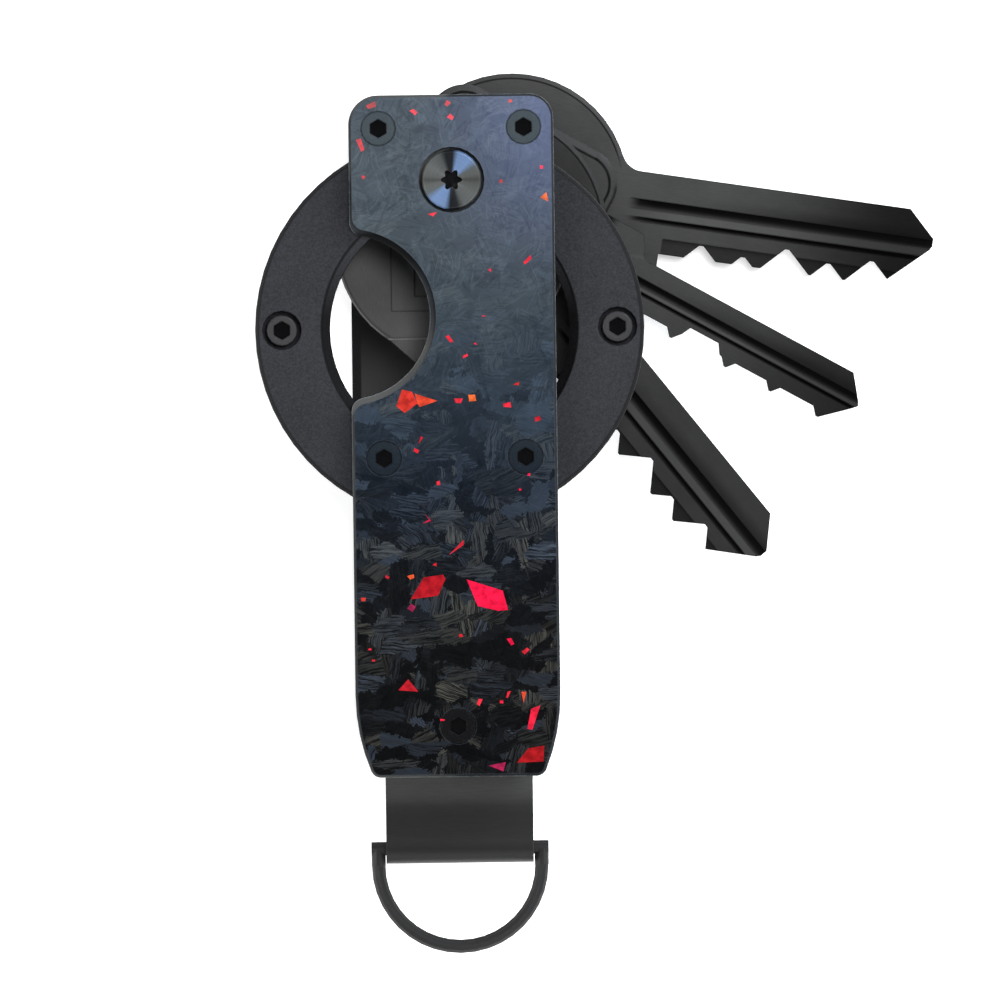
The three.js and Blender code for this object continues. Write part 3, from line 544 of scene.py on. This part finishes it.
def foil():
    """Metallic film under the resin. Each chip keeps its own hue."""
    tree = Tree("foil")
    hue = tree.node("ShaderNodeAttribute", attribute_name="foil_hue").outputs["Fac"]
    colour = tree.ramp(hue, *FOIL_HUES)
    crease = tree.noise(tree.place, 1.0, 4.0, 0.65).outputs["Fac"]
    lit = tree.mix(tree.span(crease, 0.40, 0.62), colour, (0.55, 0.50, 0.55), "MULTIPLY")
    # The chips near the pivot look paler, under a painted sheen.
    _, y, _ = tree.parts(tree.place)
    lit = tree.mix(tree.span(y, -9.0, 7.0, 0.0, 0.09), lit, (0.75, 0.42, 0.42))
    return tree.finish(lit, 0.45, tree.bump(crease, 0.3, 0.0002), Specular_IOR_Level=0.05)


def floor_paint():
    tree = Tree("floor_paint")
    cloud = tree.noise(tree.coords, 3.0).outputs["Fac"]
    tree.finish(tree.ramp(cloud, (0.3, 0.90), (0.7, 0.93)), 0.8, Emission_Strength=0.4)
    tree.shader.inputs["Emission Color"].default_value = (1, 1, 1, 1)
    return tree.material


# ------------------------------------------------------------------ shape helpers


def smoothing_group():
    """Shades the round stretches of a CAD node smooth, up to a fold angle."""
    group = bpy.data.node_groups.new("smooth_round_faces", "GeometryNodeTree")
    group.interface.new_socket("Geometry", in_out="INPUT", socket_type="NodeSocketGeometry")
    group.interface.new_socket("Geometry", in_out="OUTPUT", socket_type="NodeSocketGeometry")
    nodes, links = group.nodes, group.links
    source = nodes.new("NodeGroupInput")
    sink = nodes.new("NodeGroupOutput")
    smooth = nodes.new("GeometryNodeSetShadeSmooth")
    crease = nodes.new("GeometryNodeSetShadeSmooth")
    crease.domain = "EDGE"
    crease.inputs["Shade Smooth"].default_value = False
    angle = nodes.new("GeometryNodeInputMeshEdgeAngle")
    compare = nodes.new("FunctionNodeCompare")
    compare.inputs[1].default_value = math.radians(24)
    links.new(source.outputs[0], smooth.inputs["Geometry"])
    links.new(smooth.outputs[0], crease.inputs["Geometry"])
    links.new(angle.outputs["Unsigned Angle"], compare.inputs[0])
    links.new(compare.outputs[0], crease.inputs["Selection"])
    links.new(crease.outputs[0], sink.inputs[0])
    return group


SMOOTHING = smoothing_group()


def soften(obj, width):
    """Rounds the sharp edges of a piece by a small radius and shades it smoothly."""
    weld = obj.modifiers.new("weld", "WELD")
    weld.merge_threshold = 2e-6
    bevel = obj.modifiers.new("edges", "BEVEL")
    bevel.width = width
    bevel.segments = 2
    bevel.limit_method = "ANGLE"
    bevel.angle_limit = math.radians(30)
    bevel.use_clamp_overlap = True
    bevel.miter_outer = "MITER_ARC"
    shade = obj.modifiers.new("shading", "NODES")
    shade.node_group = SMOOTHING
    even = obj.modifiers.new("even", "WEIGHTED_NORMAL")
    even.keep_sharp = True
    even.weight = 90


def dress(name, material, edge):
    """Gives a CAD node its material and soft edges."""
    node = NODES[name]
    node.data.materials.clear()
    node.data.materials.append(material)
    soften(node, edge)


def new_piece(name, mesh, material, body):
    piece = bpy.data.objects.new(name, mesh)
    bpy.context.scene.collection.objects.link(piece)
    mesh.materials.append(material)
    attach(piece, body)
    return piece


# ------------------------------------------------------------------ foil chips in the cover

# The large chips: a hue from 0 magenta to 1 orange, and the corners (mm).
LARGE_CHIPS = (
    (0.20, ((1.2, -47.6), (5.5, -49.0), (6.1, -51.3), (5.0, -51.4), (2.5, -50.8))),
    (0.57, ((-3.9, -47.3), (-1.6, -47.0), (-1.3, -47.5), (-2.2, -49.5), (-5.5, -49.9))),
    (0.76, ((-6.2, -24.9), (-5.0, -25.2), (-4.4, -26.6), (-5.9, -27.7), (-6.9, -26.9))),
    (0.84, ((-4.7, -25.4), (-2.0, -26.3), (-4.1, -27.0), (-4.4, -26.6))),
    (0.54, ((-5.9, -59.4), (-4.7, -60.9), (-7.1, -60.7))),
    (0.62, ((8.3, -67.8), (10.2, -67.5), (10.1, -69.4), (6.9, -69.5))),
    (0.30, ((8.7, -63.1), (9.8, -62.7), (8.8, -65.6), (8.2, -65.5))),
    (0.02, ((3.5, -69.8), (5.6, -69.4), (5.3, -70.5))),
    (0.45, ((-0.9, -44.7), (0.9, -42.9), (0.9, -43.5))),
    (0.10, ((-3.7, -39.7), (-2.9, -40.6), (-4.0, -40.9), (-3.2, -40.4))),
)

# The small chips: x, y, length, width (mm), angle (degrees), corners, hue.
CHIPS = (
    (-9.4, 9.0, 1.3, 0.7, 20, 4, 0.6),
    (-4.4, 8.1, 0.9, 0.6, -40, 4, 0.3), (-0.3, 9.1, 0.8, 0.6, 50, 4, 0.5),
    (0.0, 7.5, 0.8, 0.6, -30, 4, 0.3), (7.1, 9.3, 0.5, 0.4, 0, 4, 0.8),
    (-10.8, 4.4, 1.9, 0.7, -70, 4, 0.5), (-10.5, 0.4, 0.5, 0.4, 30, 4, 0.5),
    (-2.3, -4.0, 1.1, 0.6, -5, 3, 0.4), (5.9, -0.3, 0.5, 0.5, 0, 4, 0.7),
    (11.2, -2.2, 1.1, 1.0, 20, 3, 1.0), (10.7, 1.4, 0.5, 0.4, 0, 4, 0.2),
    (9.0, -9.6, 1.2, 0.5, 45, 4, 0.4), (4.5, -10.8, 0.5, 0.4, 0, 3, 0.3),
    (3.6, -16.3, 0.4, 0.3, 0, 3, 0.3), (-0.5, -18.9, 1.4, 0.4, -55, 4, 0.45),
    (2.6, -19.6, 0.4, 0.3, 0, 3, 0.3), (1.4, -21.0, 0.8, 0.3, 30, 4, 0.4),
    (7.6, -24.4, 1.0, 0.4, 15, 3, 0.7), (0.5, -26.3, 1.2, 0.6, -5, 4, 0.40),
    (2.1, -26.0, 1.1, 0.9, 10, 4, 1.0), (6.4, -26.9, 1.2, 0.6, 5, 4, 0.4),
    (9.9, -28.6, 0.9, 0.5, 20, 4, 0.5), (-4.1, -30.9, 0.9, 0.4, 60, 3, 0.5),
    (-4.6, -32.2, 0.8, 0.4, -30, 4, 0.5), (8.8, -35.2, 0.4, 0.3, 0, 4, 0.2),
    (-2.0, -36.1, 0.5, 0.5, 0, 4, 0.4), (7.7, -37.0, 0.3, 0.3, 0, 4, 0.2),
    (-2.5, -45.8, 0.7, 0.4, 10, 3, 0.5),
    (-8.2, -47.2, 0.5, 0.4, -30, 4, 0.4), (-5.4, -47.2, 0.8, 0.6, 15, 4, 0.9),
    (-11.1, -49.8, 0.6, 0.5, 0, 4, 0.8), (-5.4, -50.9, 1.0, 0.8, 60, 4, 0.0),
    (0.4, -54.3, 0.7, 0.4, 10, 4, 0.5), (6.3, -55.0, 1.1, 0.6, -60, 4, 0.2),
    (8.1, -56.2, 0.9, 0.6, 40, 4, 0.45), (-10.4, -55.8, 0.4, 0.3, 0, 4, 0.3),
    (-10.0, -57.1, 0.4, 0.3, 0, 4, 0.5), (6.0, -61.3, 0.9, 0.4, 70, 4, 0.4),
    (7.8, -61.6, 1.3, 0.7, 80, 3, 0.85), (5.2, -62.2, 0.5, 0.4, 0, 4, 0.3),
    (2.6, -62.2, 0.9, 0.5, 60, 4, 0.4), (-1.9, -64.3, 0.6, 0.3, 0, 4, 0.3),
)
CHIP_PROUD = 0.012
CHIP_DEPTH = 0.05


def chip_outline(rng, length, width, corners):
    """An angular flake: corners round an oval, each moved a little."""
    points = []
    for index in range(corners):
        angle = 2 * math.pi * (index + 0.5 + rng.uniform(-0.22, 0.22)) / corners
        reach = rng.uniform(0.52, 0.66)
        points.append((length * reach * math.cos(angle), width * reach * math.sin(angle)))
    return points


def all_chip_outlines():
    rng = random.Random(11)
    for hue, corners in LARGE_CHIPS:
        yield hue, [Vector(corner) for corner in reversed(corners)]
    for x, y, length, width, angle, corners, hue in CHIPS:
        turn = Matrix.Rotation(math.radians(angle), 2)
        flake = chip_outline(rng, length, width, corners)
        yield hue, [turn @ Vector(point) + Vector((x, y)) for point in flake]


def make_chips():
    mesh = bmesh.new()
    hues = []
    top = FRONT_FACE / MM + CHIP_PROUD
    for hue, outline in all_chip_outlines():
        upper, lower = ([mesh.verts.new((p.x * MM, p.y * MM, level * MM)) for p in outline]
                        for level in (top, top - CHIP_DEPTH))
        mesh.faces.new(upper)
        mesh.faces.new(lower[::-1])
        for index in range(len(outline)):
            following = (index + 1) % len(outline)
            mesh.faces.new((upper[index], lower[index], lower[following], upper[following]))
        hues += [hue] * (2 * len(outline))
    bmesh.ops.recalc_face_normals(mesh, faces=mesh.faces[:])
    data = bpy.data.meshes.new("foil_chips")
    mesh.to_mesh(data)
    mesh.free()
    attribute = data.attributes.new("foil_hue", "FLOAT", "POINT")
    attribute.data.foreach_set("value", hues)
    return new_piece("foil_chips", data, foil(), "chassis")


# ------------------------------------------------------------------ floor


def make_floor():
    half = 3.0
    corners = [(-half, -half, 0), (half, -half, 0), (half, half, 0), (-half, half, 0)]
    data = bpy.data.meshes.new("floor")
    data.from_pydata(corners, [], [(0, 1, 2, 3)])
    floor = bpy.data.objects.new("floor", data)
    bpy.context.scene.collection.objects.link(floor)
    data.materials.append(floor_paint())


# ------------------------------------------------------------------ the whole


# Tones of the screw heads along the body: a place (mm) and a colour, from the lower end up. The cover
# screws' tones are painted light, brighter towards the pivot.
COVER_SCREW_LIT_TONES = (
    (-58.0, (0.0030, 0.0030, 0.0034)),
    (-34.0, (0.0065, 0.0100, 0.0150)),
    (-14.0, (0.0240, 0.0320, 0.0370)),
    (6.0, (0.0330, 0.0430, 0.0490)),
)
RING_SCREW_TONES = (
    (-58.0, (0.033, 0.033, 0.035)),
    (6.0, (0.033, 0.033, 0.035)),
)


def screw_head_steel(name, face, floor, tones):
    """Black-oxide steel whose socket is painted black as painted shade: faces away from the head's own
    level are black. The head's edges are painted dark too, as painted shade.
    """
    tree = Tree(name)
    _, y, z = tree.parts(tree.place)
    speckle = tree.noise(tree.place, 5.0, 4.0, 0.7).outputs["Fac"]
    low, high = tones[0][0], tones[-1][0]
    stops = [((place - low) / (high - low), tone) for place, tone in tones]
    # The tone along the body: painted light on the cover screws.
    body = tree.ramp(tree.span(y, low, high), *stops)
    body = tree.mix(1.0, body, tree.ramp(speckle, (0.3, 0.82), (0.7, 1.18)), "MULTIPLY")
    # Painted shade: the head's edges, round its rim and round its socket, are dark.
    edged = tree.mix(tree.times(edge_mask(tree, 0.00022), 0.95), body, (0.003, 0.004, 0.005))
    # Painted shade: the socket's walls and floor, away from the head's own level, are black.
    height = tree.gap(z, MIDDLE_LEVEL)
    tone = tree.mix(tree.span(height, floor, face), (0.0025, 0.0025, 0.003), edged)
    return tree.finish(tone, tree.span(speckle, 0.3, 0.7, 0.3, 0.42), tree.bump(speckle, 0.06, 0.0001),
                       Metallic=0.2, Specular_IOR_Level=0.25)


def notched_frame_metal():
    """The front frame: satin metal with edges rubbed paler, a painted highlight along its left edge, and a
    painted shadow along the top of the thumb notch.
    """
    tree = Tree("frame_metal")
    x, y, _ = tree.parts(tree.place)
    speckle = tree.noise(tree.place, 6.0, 3.0, 0.6).outputs["Fac"]
    cloud = tree.noise(tree.place, 0.12).outputs["Fac"]
    tone = tree.times(tree.span(speckle, 0.3, 0.7, 0.9, 1.1), tree.span(cloud, 0.3, 0.7, 0.8, 1.2))
    # A painted highlight: the left edge, except beside the notch's upper side, is paler.
    pale = tree.maths("MAXIMUM", tree.span(y, -15.0, -21.0, smooth=True), tree.span(y, -0.5, 1.5))
    pale = tree.times(pale, tree.span(x, 0.0, -1.0))
    body = tree.toned(tree.mix(pale, (0.024, 0.027, 0.031), (0.065, 0.066, 0.066)), tone)
    patchy = tree.span(tree.noise(tree.place, 1.2, 3.0).outputs["Fac"], 0.35, 0.6, 0.3, 1.0)
    edged = tree.mix(tree.times(edge_mask(tree, 0.00014), patchy), body, (0.19, 0.21, 0.22))
    # Painted shadow along the top of the thumb notch.
    notch_shadow = tree.times(tree.span(y, -14.0, -8.5, smooth=True), tree.span(y, -5.8, -6.4),
                      tree.span(x, -1.0, -2.0), 0.93)
    return tree.finish(tree.mix(notch_shadow, edged, (0.002, 0.002, 0.002)), tree.span(speckle, 0.3, 0.7, 0.38, 0.5),
                       tree.bump(speckle, 0.06, 0.0001), Metallic=0.2, Specular_IOR_Level=0.3)


def rimmed_frame_metal():
    """The back frame: satin metal, dark along its edges, with a painted shadow of the folded key that
    darkens it towards the pivot.
    """
    tree = Tree("back_frame_metal")
    x, y, _ = tree.parts(tree.place)
    speckle = tree.noise(tree.place, 6.0, 3.0, 0.6).outputs["Fac"]
    # Painted shadow of the folded key, darker towards the pivot.
    shade = tree.times(tree.span(y, -17.0, -27.0, 0.006, 0.050), tree.span(speckle, 0.3, 0.7, 0.9, 1.1))
    rim = tree.span(tree.maths("ABSOLUTE", x), 11.05, 11.25, smooth=True)
    tone = tree.mix(rim, tree.ramp(shade, (0, 0.0), (1, 1.0)), (0.008, 0.008, 0.009))
    return tree.finish(tone, 0.5, tree.bump(speckle, 0.06, 0.0001), Metallic=0.4)


# The strip's painted light and shade, as greys from its fold (0) to where it enters the body (1).
STRIP_SHADING = (
    (0.0, 0.0095), (0.11, 0.013), (0.20, 0.0175), (0.29, 0.0152), (0.5, 0.0144),
    (0.6, 0.0176), (0.75, 0.041), (0.9, 0.064), (1.0, 0.069),
)


def strip_steel():
    """Satin black sheet, with soft bands of painted light and shade along it."""
    tree = Tree("strip_metal")
    _, y, _ = tree.parts(tree.place)
    grain = tree.noise(tree.stretched(tree.place, 0.6, 6.0, 1), 1.0, 3.0).outputs["Fac"]
    bands = tree.ramp(tree.span(y, -81.0, -70.5), *STRIP_SHADING)
    tone = tree.mix(1.0, bands, tree.ramp(grain, (0.3, 0.85), (0.7, 1.0)), "MULTIPLY")
    edged = tree.mix(tree.times(edge_mask(tree, 0.00015), 0.3), tone, (0.12, 0.12, 0.12))
    return tree.finish(edged, 0.45, tree.bump(grain, 0.05, 0.0001), Metallic=0.2, Specular_IOR_Level=0.3)


# Each key's blade angle, whether it is a wide one, its gain in tone, and the gain towards its tip. The
# folded key's large gain is painted light on a key that lies in shade inside the body.
KEY_LOOKS = {
    "key_top": (-8.7, True, 1.0, 0.07),
    "key_middle": (-29.1, False, 0.85, 0.20),
    "key_lower": (-51.5, True, 0.60, 0.75),
    "key_folded": (-90.0, True, 2.3, 0.5),
}

# Radii of the rounded edges (m).
PLATE_EDGE = 0.00012
FRAME_EDGE = 0.00014
SHEET_EDGE = 0.00008
SCREW_EDGE = 0.00007
PIVOT_EDGE = 0.00006
ROD_EDGE = 0.00004
WASHER_EDGE = 0.00003


def dress_nodes():
    """Gives every CAD node its material: names that start alike are pieces of one kind."""
    screws = screw_head_steel("screw_steel", 11.5, 11.35, COVER_SCREW_LIT_TONES)
    kinds = {
        ("front_cover", "back_cover"): (forged_carbon(), PLATE_EDGE),
        ("front_frame",): (notched_frame_metal(), FRAME_EDGE),
        ("back_frame",): (rimmed_frame_metal(), FRAME_EDGE),
        ("front_screw", "back_screw"): (screws, SCREW_EDGE),
        ("ring_screw",): (screw_head_steel("ring_screw_steel", 8.93, 8.8, RING_SCREW_TONES), SCREW_EDGE),
        ("pivot",): (turned_steel(), PIVOT_EDGE),
        ("tag_ring",): (ring_metal(), PLATE_EDGE),
        ("spacer",): (coated_metal("spacer_metal", (0.016, 0.018, 0.021), 0.42, 0.2, wear=0.8,
                                   wear_colour=(0.19, 0.21, 0.22)), SHEET_EDGE),
        ("friction_washer",): (coated_metal("washer_bronze", (0.42, 0.30, 0.13), 0.35, 1.0,
                                            wear_colour=(0.7, 0.55, 0.3)), WASHER_EDGE),
        ("wave_washer",): (coated_metal("washer_steel", (0.35, 0.35, 0.36), 0.3, 1.0,
                                        wear_colour=(0.6, 0.6, 0.6)), WASHER_EDGE),
        ("loop_strip",): (strip_steel(), SHEET_EDGE),
        ("d_ring",): (coated_metal("d_ring_metal", (0.012, 0.012, 0.0124), 0.5, 0.0, wear=0.12,
                                   specular=0.2), ROD_EDGE),
    }
    for starts, (material, edge) in kinds.items():
        for name in NODES:
            if name.startswith(starts):
                dress(name, material, edge)
    for name, (angle, wide, gain, tip_gain) in KEY_LOOKS.items():
        dress(name, key_metal(name, math.radians(angle), wide, gain, tip_gain), PLATE_EDGE)


make_camera()
make_studio()
make_floor()
dress_nodes()
make_chips()
